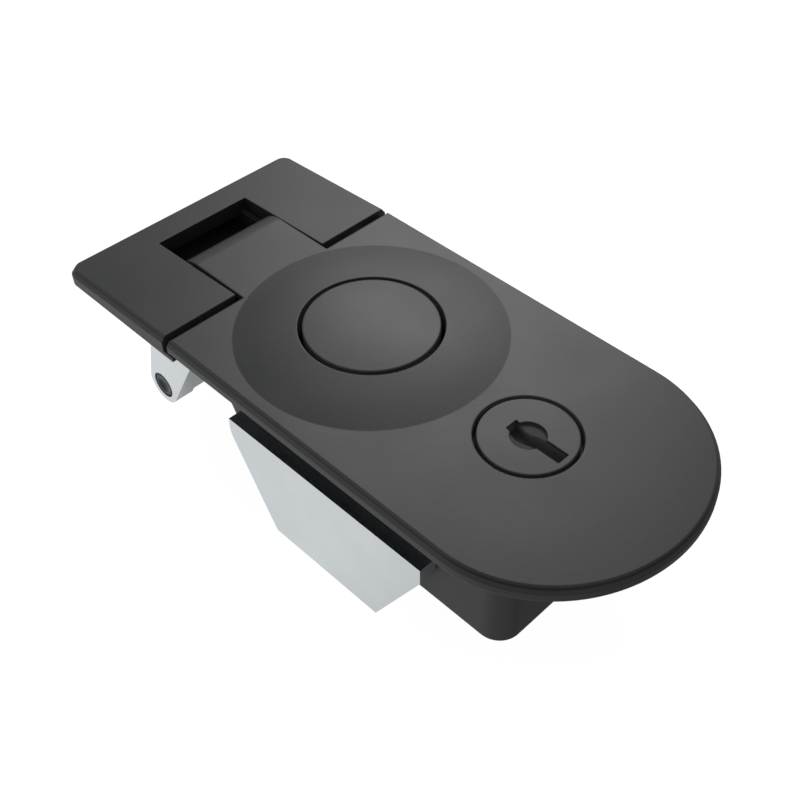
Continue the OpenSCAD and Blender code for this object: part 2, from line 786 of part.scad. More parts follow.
// Torsion spring on the front spacer: one end held in the ear, the other over the pawl's arm
module kick_spring() {
    width = ear_in - pawl_half - 2 * slide_clear;
    rings = coil_rings(kick_r, kick_wire_r, 0, width, kick_turns, kick_a, 18);
    up = [0, 0, 1];
    u = out_at(kick_a);
    t = along_at(kick_a);
    c0 = coil_at(kick_r, kick_a, kick_wire_r);
    c1 = coil_at(kick_r, kick_a, width - kick_wire_r) + kick_leg * t;
    color(steel) translate([pivot[0], -pawl_half - slide_clear - width, pivot[1]])
        rotate([90, 0, 0]) mirror([0, 0, 1]) wire(concat(
            [wire_ring(c0 - kick_anchor * up, u, -t, kick_wire_r), wire_ring(c0, u, up - t, kick_wire_r)],
            [for (i = [1:len(rings) - 1]) rings[i]],
            [wire_ring(c1, u, up - t, kick_wire_r), wire_ring(c1 + side_t * up, u, -t, kick_wire_r)]
        ));
}

module drive_pin() {
    color(steel) bar_y(drive, drive_pin_r, -lug_out, lug_out);
}

module catch_pin() {
    color(steel) bar_y(tail, catch_pin_r, -lug_out, lug_out);
}

// Button: domed cap with a skirt, two tabs under the flange and a wedge stem
module push_button() {
    wedge_top = catch_top + stem_x / 2 - 0.5;
    tab_r = button_r + button_gap + tab_reach;
    color(black) {
        rotate_extrude() difference() {
            dome_profile(button_r, skirt_z);
            round_off(button_r, dome_z(button_r));
            translate([-1, skirt_z - 1]) square([button_r - skirt_t + 1, cap_in_z - skirt_z + 1]);
        }
        difference() {
            intersection() {
                translate([0, 0, skirt_z]) cylinder(r = tab_r, h = tab_top - skirt_z);
                translate([-tab_half_x, -tab_r, skirt_z]) cube([2 * tab_half_x, 2 * tab_r, -skirt_z]);
            }
            translate([0, 0, skirt_z - 1]) cylinder(r = button_r - skirt_t / 2, h = 1 - skirt_z);
        }
        across(-stem_y / 2, stem_y / 2)
            polygon([
                [-stem_x / 2, cap_in_z + 0.5], [stem_x / 2, cap_in_z + 0.5],
                [stem_x / 2, wedge_top], [-stem_x / 2 + 1, wedge_top - stem_x + 1],
                [-stem_x / 2, wedge_top - stem_x + 1]
            ]);
    }
}

module button_spring() {
    color(steel) translate([0, 0, bridge_top])
        coil(button_coil_r, button_wire_r, 0, cap_in_z - bridge_top, button_turns);
}

module guide_bridge() {
    color(zinc) translate([0, 0, bridge_bottom]) linear_extrude(bridge_t) difference() {
        union() {
            square([2 * bridge_half_x, 2 * (post_y + post_r) - 1], center = true);
            circle(bridge_r);
        }
        square([stem_x + 2 * free_gap, stem_y + 2 * free_gap], center = true);
        for (y = [-post_y, post_y]) translate([0, y]) circle(screw_r + slide_clear);
    }
}

module bridge_screws() {
    color(steel) for (y = [-post_y, post_y])
        translate([0, y, bridge_bottom]) screw(screw_r, bridge_t + bridge_thread, small_head_r, small_head_h);
}

// Sliding catch: wedge window on the button axis and a spring window behind it
module catch_plate() {
    wedge_top = catch_top + stem_x / 2 - 0.5;
    edge_x = stem_x / 2 - (wedge_top - catch_top) + free_gap + 0.1;
    win_y = stem_y / 2 + free_gap;
    win_spring = catch_coil_r + catch_wire_r + free_gap;
    color(zinc) difference() {
        translate([catch_left, -catch_w / 2, catch_bottom])
            cube([catch_right - catch_left, catch_w, catch_t]);
        across(-win_y, win_y)
            polygon([
                [-stem_x / 2 - travel - 2 * free_gap, catch_top + 1],
                [edge_x + 1, catch_top + 1], [edge_x - catch_t - 1, catch_bottom - 1],
                [-stem_x / 2 - travel - 2 * free_gap, catch_bottom - 1]
            ]);
        translate([catch_post_x - catch_spring_l, -win_spring, catch_bottom - 1])
            cube([catch_spring_l + post_t + free_gap, 2 * win_spring, catch_t + 2]);
    }
}

module catch_spring() {
    color(steel) translate([catch_post_x - catch_spring_l, 0, catch_top - catch_t / 2]) rotate([0, 90, 0])
        coil(catch_coil_r, catch_wire_r, 0, catch_spring_l, catch_turns, 0, 14);
}

// Cover inside the box's open side, with rails for the catch and a spring post
module rear_cover() {
    gap = wall + slide_clear;
    rail_h = catch_bottom - slide_clear - cover_z;
    color(zinc) difference() {
        union() {
            box_solid(gap, -box_depth, cover_z);
            both_sides() translate([catch_left + 15, catch_w / 2 - 2, cover_z - 0.5])
                cube([catch_right - catch_left - 15, 2, rail_h + 0.5]);
            translate([catch_post_x, -catch_coil_r, cover_z - 0.5])
                cube([post_t, 2 * catch_coil_r, catch_top - cover_z + 0.5]);
        }
        translate([0, 0, -box_depth - 1]) {
            for (p = cover_screws_at)
                translate([p[0], p[1], 0]) cylinder(r = screw_r + slide_clear, h = cover_t + 2);
            for (y = [-clamp_screw_y, clamp_screw_y])
                translate([clamp_x, y, 0]) cylinder(r = boss_r + slide_clear, h = cover_t + 2);
        }
    }
}

module cover_screws() {
    color(steel) for (p = cover_screws_at)
        translate([p[0], p[1], -box_depth]) screw(screw_r, cover_t + cover_thread, small_head_r, small_head_h);
}

module lock_sleeve() {
    color(steel) translate([lock_x, 0, -sleeve_l]) difference() {
        cylinder(r = sleeve_r, h = sleeve_l);
        translate([0, 0, -1]) cylinder(r = plug_r + run_clear, h = sleeve_l + 2);
    }
}

// Plan of the key slot: straight at its ends, bowed sideways in the middle
module key_profile() {
    x0 = face_r - key_inset - key_l;
    xs = [for (i = [0:24]) x0 + key_l * i / 24];
    polygon(concat(
        [for (x = xs) [x, key_mid(x) - key_w / 2]],
        [for (i = [24:-1:0]) [xs[i], key_mid(xs[i]) + key_w / 2]]
    ));
}

// Plug with its rounded face, keyhole and key slot
module lock_plug() {
    color(black) translate([lock_x, 0, 0]) difference() {
        union() {
            rotate_extrude() difference() {
                translate([0, slide_clear]) square([face_r, plate_t - slide_clear]);
                round_off(face_r, plate_t);
            }
            translate([0, 0, cam_top]) cylinder(r = plug_r, h = plate_t - 1 - cam_top);
            translate([-stub / 2, -stub / 2, cam_top - cam_t]) cube([stub, stub, cam_t + 1]);
        }
        translate([0, 0, plate_t - 0.5]) cylinder(r = keyhole_r, h = 1);
        translate([0, 0, plate_t - key_depth]) linear_extrude(key_depth + 1) key_profile();
        translate([0, 0, cam_top - cam_t - 1]) cylinder(r = screw_r + run_clear, h = 1 + cam_thread + tip_gap);
    }
}

module lock_cam() {
    color(zinc) translate([lock_x, 0, cam_top - cam_t]) linear_extrude(cam_t) difference() {
        union() {
            circle(cam_w / 2 + 1.5);
            translate([-cam_w / 2, 0]) square([cam_w, cam_reach - cam_w / 2]);
            intersection() {
                circle(cam_reach);
                translate([-cam_w / 2, 0]) square([cam_w, cam_reach]);
            }
        }
        square(stub + 2 * run_clear, center = true);
    }
}

module cam_screw() {
    color(steel) translate([lock_x, 0, cam_top - cam_t]) screw(screw_r, cam_thread, cam_head_r, cam_head_h);
}

module lock_ring() {
    color(steel) translate([lock_x, 0, ring_z]) linear_extrude(ring_t) difference() {
        circle(sleeve_r + 1 - run_clear);
        circle(sleeve_r - 1.2);
        translate([sleeve_r, 0]) square([6, 5], center = true);
    }
}

// Side plate of the clamp, with a round corner under one of its upright ends
module clamp_profile(top_h, foot_h) {
    end_z = clamp_top - clamp_end_h;
    lean = atan2(top_h - foot_h, end_z - clamp_bottom);
    cut = clamp_round * tan(lean / 2);
    centre = [clamp_round - top_h, end_z + cut];
    polygon([
        [-top_h, clamp_top], [top_h, clamp_top], [top_h, end_z],
        [foot_h, clamp_bottom], [-foot_h, clamp_bottom],
        [-top_h + cut * sin(lean), end_z - cut * cos(lean)], centre, [-top_h, end_z + cut]
    ]);
    intersection() {
        translate(centre) circle(clamp_round);
        translate([-top_h, end_z - cut]) square([clamp_round, 2 * cut]);
    }
}

// U-shaped clamp with tapered side plates
module mounting_clamp() {
    out = half_w - clamp_inset;
    in = out - clamp_t;
    top_h = clamp_top_l / 2;
    foot_h = clamp_foot_l / 2;
    color(zinc) translate([clamp_x, 0, 0]) difference() {
        union() {
            both_sides() across(in, out) clamp_profile(top_h, foot_h);
            translate([-foot_h, -in - 1, clamp_bottom]) cube([clamp_foot_l, 2 * in + 2, web_t]);
        }
        for (y = [-clamp_screw_y, clamp_screw_y])
            translate([0, y, clamp_bottom - 1]) cylinder(r = clamp_screw_r + free_gap, h = web_t + 2);
    }
}

module clamp_screws() {
    color(steel) for (y = [-clamp_screw_y, clamp_screw_y])
        translate([clamp_x, y, clamp_bottom - washer_t])
            screw(clamp_screw_r, washer_t - clamp_bottom - clamp_tip, clamp_head_r, head_h);
}

module clamp_washers() {
    color(zinc) for (y = [-clamp_screw_y, clamp_screw_y])
        translate([clamp_x, y, clamp_bottom - washer_t]) difference() {
            cylinder(r = clamp_screw_r + washer_rim, h = washer_t);
            translate([0, 0, -1]) cylinder(r = clamp_screw_r + slide_clear, h = washer_t + 2);
        }
}

housing();
lever();
hinge_pin();
latch_bracket();
bracket_screws();
pawl();
pawl_pin();
pawl_spacers();
kick_spring();
drive_pin();
catch_pin();
push_button();
button_spring();
guide_bridge();
bridge_screws();
catch_plate();
catch_spring();
rear_cover();
cover_screws();
lock_sleeve();
lock_plug();
lock_cam();
cam_screw();
lock_ring();
mounting_clamp();
clamp_screws();
clamp_washers();
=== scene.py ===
import logging
from dataclasses import dataclass
from enum import Enum
from typing import Optional, Sequence, Tuple, Union

import bpy
import numpy as np
from mathutils import Matrix, Vector


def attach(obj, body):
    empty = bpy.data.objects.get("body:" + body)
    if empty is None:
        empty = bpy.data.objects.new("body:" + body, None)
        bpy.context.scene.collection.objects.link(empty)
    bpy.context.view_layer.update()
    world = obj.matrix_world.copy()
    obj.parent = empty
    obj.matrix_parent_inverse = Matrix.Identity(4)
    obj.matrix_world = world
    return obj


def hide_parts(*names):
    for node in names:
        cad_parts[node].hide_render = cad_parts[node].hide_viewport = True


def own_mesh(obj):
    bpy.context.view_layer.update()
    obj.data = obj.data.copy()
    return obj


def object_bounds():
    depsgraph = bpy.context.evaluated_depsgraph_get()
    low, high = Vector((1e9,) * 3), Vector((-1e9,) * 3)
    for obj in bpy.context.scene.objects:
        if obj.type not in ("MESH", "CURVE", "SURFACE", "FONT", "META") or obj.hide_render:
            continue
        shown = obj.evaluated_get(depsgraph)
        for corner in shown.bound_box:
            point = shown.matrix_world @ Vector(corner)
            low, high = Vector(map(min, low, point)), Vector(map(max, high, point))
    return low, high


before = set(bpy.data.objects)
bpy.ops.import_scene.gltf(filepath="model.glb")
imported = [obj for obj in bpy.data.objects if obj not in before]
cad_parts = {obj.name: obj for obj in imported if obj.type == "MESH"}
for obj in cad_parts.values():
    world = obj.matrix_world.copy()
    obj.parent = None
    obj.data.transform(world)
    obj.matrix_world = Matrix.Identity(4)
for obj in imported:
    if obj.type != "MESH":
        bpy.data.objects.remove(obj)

LOG = logging.getLogger("lever_latch")
MM = 0.001
CAD_BOX = [list(corner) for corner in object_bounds()]

# Ends of a noise's usual range, for colours and for plain values.
TONE_ENDS = (0.35, 0.65)
NOISE_ENDS = (0.3, 0.7)
# A Mix node's lower, upper and result socket for each kind of data.
MIX_SOCKETS = {"FLOAT": (2, 3, 0), "RGBA": (6, 7, 2)}

SMOOTH_UNDER = np.radians(38.0)
BEVEL_OVER = np.radians(40.0)
WELD_GAP = 0.002 * MM

# Axis of the lock, and the round of the fingertip pocket, in millimetres.
LOCK_X = 38.1
POCKET_X, POCKET_R = -44.5, 13.4

Rgb = Tuple[float, float, float]
Shell = Tuple[np.ndarray, np.ndarray, np.ndarray]
Socket = bpy.types.NodeSocket
Feed = Union[float, Socket]


class Body(Enum):
    """Bodies of the latch that pieces ride on."""

    HOUSING = "housing"
    LEVER = "lever"
    LOCK = "lock"


class Slot(Enum):
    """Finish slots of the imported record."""

    STEEL = "steel"
    SPRING = "spring_steel"


class Axis(Enum):
    """Direction that a turned piece stands along, as (across, across, along) rows."""

    Y = ((1.0, 0.0, 0.0), (0.0, 0.0, -1.0), (0.0, 1.0, 0.0))
    Z = ((1.0, 0.0, 0.0), (0.0, 1.0, 0.0), (0.0, 0.0, 1.0))


# Surfaces, as closed grids of points.


def unit(v: np.ndarray) -> np.ndarray:
    """Returns the rows of v at length one."""
    return v / np.linalg.norm(v, axis=-1, keepdims=True)


def skin(rings: np.ndarray) -> Shell:
    """Closes a grid of rings into a shell.

    Point (i, k) joins (i, k + 1) and (i + 1, k), with k running round; each end is a fan to the
    mean of its ring. Faces are turned so that the enclosed volume is positive.

    Args:
        rings: array (stations, around, 3), in metres.

    Returns:
        Points, quads and triangles.
    """
    n, m, _ = rings.shape
    points = np.concatenate([rings.reshape(-1, 3), rings[0].mean(0)[None], rings[-1].mean(0)[None]])
    i = np.arange(n - 1)[:, None] * m
    k = np.arange(m)[None, :]
    j = (k + 1) % m
    quads = np.stack([i + k, i + j, i + m + j, i + m + k], -1).reshape(-1, 4)
    k, j = k[0], j[0]
    low = np.stack([np.full(m, n * m), j, k], -1)
    high = np.stack([np.full(m, n * m + 1), (n - 1) * m + k, (n - 1) * m + j], -1)
    tris = np.concatenate([low, high])
    solid = np.concatenate([quads[:, :3], quads[:, [0, 2, 3]], tris])
    a, b, c = (points[solid[:, q]] for q in range(3))
    if np.einsum("ij,ij->", a, np.cross(b, c)) < 0:
        quads, tris = quads[:, ::-1], tris[:, ::-1]
    return points, quads, tris


def sweep(path: np.ndarray, outs: np.ndarray, radius: float, sides: int = 14) -> np.ndarray:
    """Carries a circle along a path.

    Each ring is path + radius * (cos q * out + sin q * (tangent x out)), with out made square to
    the tangent.

    Args:
        path: points (n, 3).
        outs: direction (n, 3) that the ring's first point looks along.
        radius: wire radius.
        sides: points round the wire.

    Returns:
        Rings (n, sides, 3).
    """
    tangent = unit(np.gradient(path, axis=0))
    side = unit(np.cross(tangent, outs))
    out = np.cross(side, tangent)
    q = np.linspace(0.0, 2 * np.pi, sides, endpoint=False)
    turn, lift = np.cos(q)[None, :, None], np.sin(q)[None, :, None]
    return path[:, None] + radius * (turn * out[:, None] + lift * side[:, None])


def turned(stations: np.ndarray, centre: Sequence[float], axis: Axis, sides: int = 48) -> np.ndarray:
    """Revolves a profile: point = centre + r * (cos q * a + sin q * b) + s * along.

    Args:
        stations: rows (s, r); r may be an array over q as further columns.
        centre: a point on the axis.
        axis: direction of the axis.
        sides: points round.

    Returns:
        Rings (n, sides, 3).
    """
    q = np.linspace(0.0, 2 * np.pi, sides, endpoint=False)
    a, b, along = (np.array(row) for row in axis.value)
    r = np.broadcast_to(stations[:, 1:], (len(stations), sides))
    ring = np.cos(q)[:, None] * a + np.sin(q)[:, None] * b
    return np.array(centre) + r[:, :, None] * ring[None] + stations[:, 0][:, None, None] * along


def quarter(r: float, steps: int = 5) -> Tuple[np.ndarray, np.ndarray]:
    """Returns the run and rise of a quarter round of radius r, from (0, 0) to (r, r)."""
    q = np.linspace(0.0, np.pi / 2, steps)
    return r * np.sin(q), r * (1 - np.cos(q))


# Shader nodes, and the groups that several finishes share.


class NodeKit:
    """Adds and joins nodes in one shader tree."""

    def __init__(self, tree: bpy.types.NodeTree) -> None:
        """Works in the tree given."""
        self.tree = tree

    def node(self, kind: str, **values: object) -> bpy.types.Node:
        """Adds a node and sets its plain properties."""
        made = self.tree.nodes.new(kind)
        for key, value in values.items():
            setattr(made, key, value)
        return made

    def link(self, a: Socket, b: Socket) -> None:
        """Joins two sockets."""
        self.tree.links.new(a, b)

    def feed(self, hole: Socket, value: Feed) -> None:
        """Sets a socket to a number, or joins it to another socket."""
        if isinstance(value, (int, float)):
            hole.default_value = value
        else:
            self.link(value, hole)

    def math(self, op: str, *values: Feed) -> Socket:
        """Adds a sum of kind op over numbers or sockets and returns its result."""
        made = self.node("ShaderNodeMath", operation=op)
        for value, hole in zip(values, made.inputs):
            self.feed(hole, value)
        return made.outputs[0]

    def remap(self, value: Socket, source: Sequence[Feed], target: Sequence[Feed]) -> Socket:
        """Maps a value onto another span and holds it there.

        Args:
            value: what is mapped.
            source: the span it comes from, as low and high.
            target: the span it goes to.

        Returns:
            The mapped value.
        """
        made = self.node("ShaderNodeMapRange")
        names = ("Value", "From Min", "From Max", "To Min", "To Max")
        for name, number in zip(names, (value, *source, *target)):
            self.feed(made.inputs[name], number)
        return made.outputs["Result"]

    def coordinate(self, kind: str = "Object") -> Socket:
        """Returns the piece's own Object or Normal coordinate."""
        return self.node("ShaderNodeTexCoord").outputs[kind]

    def parts(self, kind: str = "Object") -> "bpy.types.NodeOutputs":
        """Returns that coordinate's X, Y and Z."""
        made = self.node("ShaderNodeSeparateXYZ")
        self.link(self.coordinate(kind), made.inputs[0])
        return made.outputs


class GroupKit(NodeKit):
    """Builds a shader node group with named sockets."""

    def __init__(self, name: str) -> None:
        """Starts an empty group called name."""
        super().__init__(bpy.data.node_groups.new(name, "ShaderNodeTree"))
        self.into = self.node("NodeGroupInput")
        self.out = self.node("NodeGroupOutput")

    def socket(self, name: str, way: str, kind: str = "NodeSocketFloat", value: Optional[float] = None) -> None:
        """Adds one socket to the group's face."""
        made = self.tree.interface.new_socket(name=name, in_out=way, socket_type=kind)
        if value is not None:
            made.default_value = value

    def noise(self, vector: Socket, scale: Feed, detail: float) -> Socket:
        """Adds a noise over vector at a scale and returns its value."""
        made = self.node("ShaderNodeTexNoise")
        made.inputs["Detail"].default_value = detail
        self.link(vector, made.inputs["Vector"])
        self.feed(made.inputs["Scale"], scale)
        return made.outputs["Fac"]


def coat_grain() -> bpy.types.NodeTree:
    """Grain of a baked powder coat.

    Height is a soft ripple plus a fine grit; Tone is a slow mottle with some grit in it.

    Returns:
        The group, with the scales Ripple, Grit and Mottle going in and Height and Tone coming out.
    """
    kit = GroupKit("coat_grain")
    kit.socket("Ripple", "INPUT", value=900.0)
    kit.socket("Grit", "INPUT", value=6000.0)
    kit.socket("Mottle", "INPUT", value=70.0)
    kit.socket("Height", "OUTPUT")
    kit.socket("Tone", "OUTPUT")
    place = kit.coordinate()
    ripple = kit.noise(place, kit.into.outputs["Ripple"], 2.0)
    grit = kit.noise(place, kit.into.outputs["Grit"], 1.0)
    mottle = kit.noise(place, kit.into.outputs["Mottle"], 4.0)
    kit.link(kit.math("ADD", ripple, kit.math("MULTIPLY", grit, 0.45)), kit.out.inputs["Height"])
    tone = kit.math("ADD", kit.math("MULTIPLY", mottle, 0.7), kit.math("MULTIPLY", grit, 0.3))
    kit.link(tone, kit.out.inputs["Tone"])
    return kit.tree


def drawn_metal() -> bpy.types.NodeTree:
    """Streaks of rolled or drawn metal under a cloudy plating.

    The vector that goes in is stretched by the material's own mapping, so that streaks run along it.

    Returns:
        The group, with Vector and the scales Fine and Patch going in and Streak, Cloud and Height coming out.
    """
    kit = GroupKit("drawn_metal")
    kit.socket("Vector", "INPUT", "NodeSocketVector")
    kit.socket("Fine", "INPUT", value=2500.0)
    kit.socket("Patch", "INPUT", value=120.0)
    kit.socket("Streak", "OUTPUT")
    kit.socket("Cloud", "OUTPUT")
    kit.socket("Height", "OUTPUT")
    streak = kit.noise(kit.into.outputs["Vector"], kit.into.outputs["Fine"], 3.0)
    place = kit.coordinate()
    cloud = kit.noise(place, kit.into.outputs["Patch"], 5.0)
    kit.link(streak, kit.out.inputs["Streak"])
    kit.link(cloud, kit.out.inputs["Cloud"])
    kit.link(kit.math("ADD", streak, kit.math("MULTIPLY", cloud, 0.6)), kit.out.inputs["Height"])
    return kit.tree


# Finishes.


class MaterialKit(NodeKit):
    """Wraps a new material with its surface shader and small helpers."""

    def __init__(self, name: str) -> None:
        """Starts a node material called name."""
        self.material = bpy.data.materials.new(name)
        self.material.use_nodes = True
        super().__init__(self.material.node_tree)
        self.shader = self.tree.nodes["Principled BSDF"]

    def group(self, tree: bpy.types.NodeTree, **values: float) -> bpy.types.Node:
        """Places a shared group with its own values."""
        made = self.node("ShaderNodeGroup", node_tree=tree)
        for key, value in values.items():
            made.inputs[key].default_value = value
        return made

    def shade(self, mask: Socket, low: Rgb, high: Rgb) -> Socket:
        """Turns a noise into a colour between low and high."""
        ramp = self.node("ShaderNodeValToRGB")
        for stop, at, colour in zip(ramp.color_ramp.elements, TONE_ENDS, (low, high)):
            stop.position = at
            stop.color = (*colour, 1.0)
        self.link(mask, ramp.inputs["Fac"])
        return ramp.outputs["Color"]

    def span(self, mask: Socket, low: float, high: float) -> Socket:
        """Maps a noise's usual range onto low..high."""
        return self.remap(mask, NOISE_ENDS, (low, high))

    def mix(self, mask: Socket, below: Feed, above: Feed, kind: str) -> Socket:
        """Lays one colour or value over another.

        Args:
            mask: where the upper one shows.
            below: the lower one.
            above: the upper one.
            kind: RGBA for colours, FLOAT for values.

        Returns:
            The result.
        """
        low, high, out = MIX_SOCKETS[kind]
        made = self.node("ShaderNodeMix", data_type=kind)
        self.link(mask, made.inputs["Factor"])
        self.feed(made.inputs[low], below)
        self.feed(made.inputs[high], above)
        return made.outputs[out]

    def bump(self, height: Socket, strength: float, depth: float, edge: float = 0.0) -> None:
        """Feeds a height to the shader's normal.

        Args:
            height: the height.
            strength: how much of it shows.
            depth: what a height of one stands for, in metres.
            edge: radius over which edges look rounded, in metres.
        """
        made = self.node("ShaderNodeBump")
        if edge > 0:
            soft = self.node("ShaderNodeBevel", samples=8)
            soft.inputs["Radius"].default_value = edge
            self.link(soft.outputs["Normal"], made.inputs["Normal"])
        made.inputs["Strength"].default_value = strength
        made.inputs["Distance"].default_value = depth
        self.link(height, made.inputs["Height"])
        self.link(made.outputs["Normal"], self.shader.inputs["Normal"])


@dataclass(frozen=True)
class Round:
    """Upright round on the latch's middle line: its axis, radius and top, in millimetres."""

    x: float
    r: float
    top: float

    def mask(self, kit: MaterialKit) -> Socket:
        """Returns a mask that is one in the round below its top and nought elsewhere."""
        parts = kit.parts()
        flat = kit.node("ShaderNodeCombineXYZ")
        kit.link(parts["X"], flat.inputs["X"])
        kit.link(parts["Y"], flat.inputs["Y"])
        far = kit.node("ShaderNodeVectorMath", operation="DISTANCE")
        kit.link(flat.outputs[0], far.inputs[0])
        far.inputs[1].default_value = (self.x * MM, 0.0, 0.0)
        near = kit.math("LESS_THAN", far.outputs["Value"], self.r * MM)
        return kit.math("MULTIPLY", near, kit.math("LESS_THAN", parts["Z"], self.top * MM))


@dataclass(frozen=True)
class RoundWalls(Round):
    """The upright walls in such a round."""

    steep: float = 0.3

    def mask(self, kit: MaterialKit) -> Socket:
        """Returns a mask that is one on those walls and nought elsewhere."""
        wall = kit.math("COMPARE", kit.parts("Normal")["Z"], 0.0, self.steep)
        return kit.math("MULTIPLY", super().mask(kit), wall)


@dataclass(frozen=True)
class PaintedShadowLine:
    """Painted shadow: a dark line along a sloping edge, where the edge's roll would lie in shade, at a distance on
    one axis, in millimetres.
    """

    axis: Axis
    at: float
    half: float
    slope: float = 0.605
    slack: float = 0.1

    def mask(self, kit: MaterialKit) -> Socket:
        """Returns a mask that is one on the line, where the normal has the slope's Z, and nought elsewhere."""
        away = kit.math("ABSOLUTE", kit.parts()[self.axis.name])
        tilt = kit.math("ABSOLUTE", kit.parts("Normal")["Z"])
        on_line = kit.math("COMPARE", away, self.at * MM, self.half * MM)
        return kit.math("MULTIPLY", on_line, kit.math("COMPARE", tilt, self.slope, self.slack))


@dataclass(frozen=True)
class Patch:
    """Part of a coat with another tone, and its own roughness where one is given. Except at the lock's core, that
    tone is painted shade and painted light.
    """

    where: Union[Round, PaintedShadowLine]
    dark: Rgb
    light: Rgb
    rough: Optional[float] = None


@dataclass(frozen=True)
class BlackCoat:
    """Satin black powder coat on a casting."""

    name: str
    patches: Tuple[Patch, ...]
    dark: Rgb = (0.0215, 0.022, 0.0232)
    light: Rgb = (0.0293, 0.0298, 0.031)
    smooth: float = 0.38
    rough: float = 0.46
    gloss: float = 0.41
    relief: float = 0.22
    depth: float = 0.06
    edge: float = 0.35

    def build(self, grain: bpy.types.NodeTree) -> bpy.types.Material:
        """Makes the material.

        Args:
            grain: the shared coat grain group.

        Returns:
            The material, with its patches laid over the coat in their order.
        """
        kit = MaterialKit(self.name)
        made = kit.group(grain)
        tone = made.outputs["Tone"]
        colour = kit.shade(tone, self.dark, self.light)
        rough = kit.span(tone, self.smooth, self.rough)
        for patch in self.patches:
            mask = patch.where.mask(kit)
            colour = kit.mix(mask, colour, kit.shade(tone, patch.dark, patch.light), "RGBA")
            if patch.rough is not None:
                rough = kit.mix(mask, rough, patch.rough, "FLOAT")
        kit.link(colour, kit.shader.inputs["Base Color"])
        kit.link(rough, kit.shader.inputs["Roughness"])
        kit.shader.inputs["Specular IOR Level"].default_value = self.gloss
        kit.bump(made.outputs["Height"], self.relief, self.depth * MM, self.edge * MM)
        return kit.material


@dataclass(frozen=True)
class BareMetal:
    """Plated, drawn or rolled metal."""

    name: str
    dark: Rgb
    light: Rgb
    smooth: float
    rough: float
    stretch: Tuple[float, float, float] = (0.06, 1.0, 1.0)
    fine: float = 2500.0
    patch: float = 120.0
    relief: float = 0.10
    depth: float = 0.04

    def build(self, drawn: bpy.types.NodeTree) -> bpy.types.Material:
        """Makes the material from the shared drawn metal group.

        Args:
            drawn: the group.

        Returns:
            The material.
        """
        kit = MaterialKit(self.name)
        place = kit.node("ShaderNodeMapping")
        place.inputs["Scale"].default_value = self.stretch
        kit.link(kit.coordinate(), place.inputs["Vector"])
        made = kit.group(drawn, Fine=self.fine, Patch=self.patch)
        kit.link(place.outputs["Vector"], made.inputs["Vector"])
        kit.link(kit.shade(made.outputs["Cloud"], self.dark, self.light), kit.shader.inputs["Base Color"])
        kit.link(kit.span(made.outputs["Streak"], self.smooth, self.rough), kit.shader.inputs["Roughness"])
        kit.shader.inputs["Metallic"].default_value = 1.0
        kit.bump(made.outputs["Height"], self.relief, self.depth * MM)
        return kit.material


class Finishes:
    """All finishes of the latch, built once."""

    def __init__(self) -> None:
        """Builds the shared groups and every material."""
        grain = coat_grain()
        drawn = drawn_metal()
        # Painted shadow: the dark tone of the line just below the top of the sloping edges.
        line = (0.0015, 0.0015, 0.002), (0.003, 0.003, 0.0035)
        # Painted light: a lighter coat on the walls of the ring gaps round the button and the lock, lifting their
        # shade.
        painted_groove_light = (0.10, 0.101, 0.104), (0.125, 0.126, 0.13)
        # Painted shade: a near-black coat in the fingertip pocket, made rough to dull its sheen.
        pocket_shade = (0.003, 0.003, 0.0035), (0.005, 0.005, 0.0055), 0.95
        self.black = BlackCoat("satin_black_coat", (
            # Painted shadow line on the flange's sloping edge.
            Patch(PaintedShadowLine(Axis.Z, 2.55, 0.18), *line),
            # Painted light in the ring gaps round the button and the lock.
            Patch(Round(0.0, 14.1, 4.1), *painted_groove_light),
            Patch(Round(LOCK_X, 9.8, 2.7), *painted_groove_light),
            # Painted shade on the floor and cheeks of the fingertip pocket.
            Patch(Round(POCKET_X, POCKET_R, 0.6), *pocket_shade),
        )).build(grain)
        self.lever = BlackCoat("satin_black_lever", (
            # Painted shadow line on the lever's sloping edges.
            Patch(PaintedShadowLine(Axis.Y, 28.3, 0.14), *line),
            # Painted shade on the lever's walls round the fingertip pocket.
            Patch(RoundWalls(POCKET_X, POCKET_R, 4.0), *pocket_shade),
        )).build(grain)
        self.plug = BlackCoat("satin_black_plug", (
            Patch(Round(LOCK_X, 3.26, 2.9), (0.014, 0.014, 0.015), (0.019, 0.019, 0.02), 0.6),
            # Painted light: below z 2.5 the walls of the keyhole slot and of the gap round the plug are lifted out
            # of their shade to an even dark grey, and below z 0.7 the slot's floor to a lesser grey.
            Patch(Round(LOCK_X, 9.3, 2.5), (0.085, 0.086, 0.088), (0.105, 0.106, 0.108)),
            Patch(Round(LOCK_X, 9.3, 0.7), (0.036, 0.036, 0.037), (0.046, 0.046, 0.047)),
        )).build(grain)
        self.zinc = BareMetal(
            "bright_zinc", (0.785, 0.83, 0.86), (0.815, 0.86, 0.89), 0.16, 0.26, relief=0.06
        ).build(drawn)
        self.steel = BareMetal(
            "turned_steel", (0.36, 0.375, 0.395), (0.48, 0.495, 0.51), 0.22, 0.36, (1.0, 0.08, 1.0), 3000.0
        ).build(drawn)
        self.screw = BareMetal(
            "screw_steel", (0.42, 0.43, 0.44), (0.56, 0.57, 0.575), 0.2, 0.34, (1.0, 1.0, 0.2), 3000.0, 300.0
        ).build(drawn)
        self.pivot = BareMetal(
            "dark_pivot_steel", (0.026, 0.033, 0.038), (0.044, 0.052, 0.058), 0.2, 0.32, (1.0, 0.08, 1.0), 3000.0
        ).build(drawn)
        self.sleeve = BareMetal(
            "black_oxide_steel", (0.055, 0.056, 0.058), (0.07, 0.071, 0.073), 0.5, 0.62, (1.0, 1.0, 0.1), 3000.0
        ).build(drawn)
        self.wire = BareMetal(
            "spring_wire", (0.26, 0.265, 0.275), (0.38, 0.385, 0.395), 0.24, 0.4, (1.0, 1.0, 1.0), 4000.0, 400.0
        ).build(drawn)


# Making and dressing pieces.


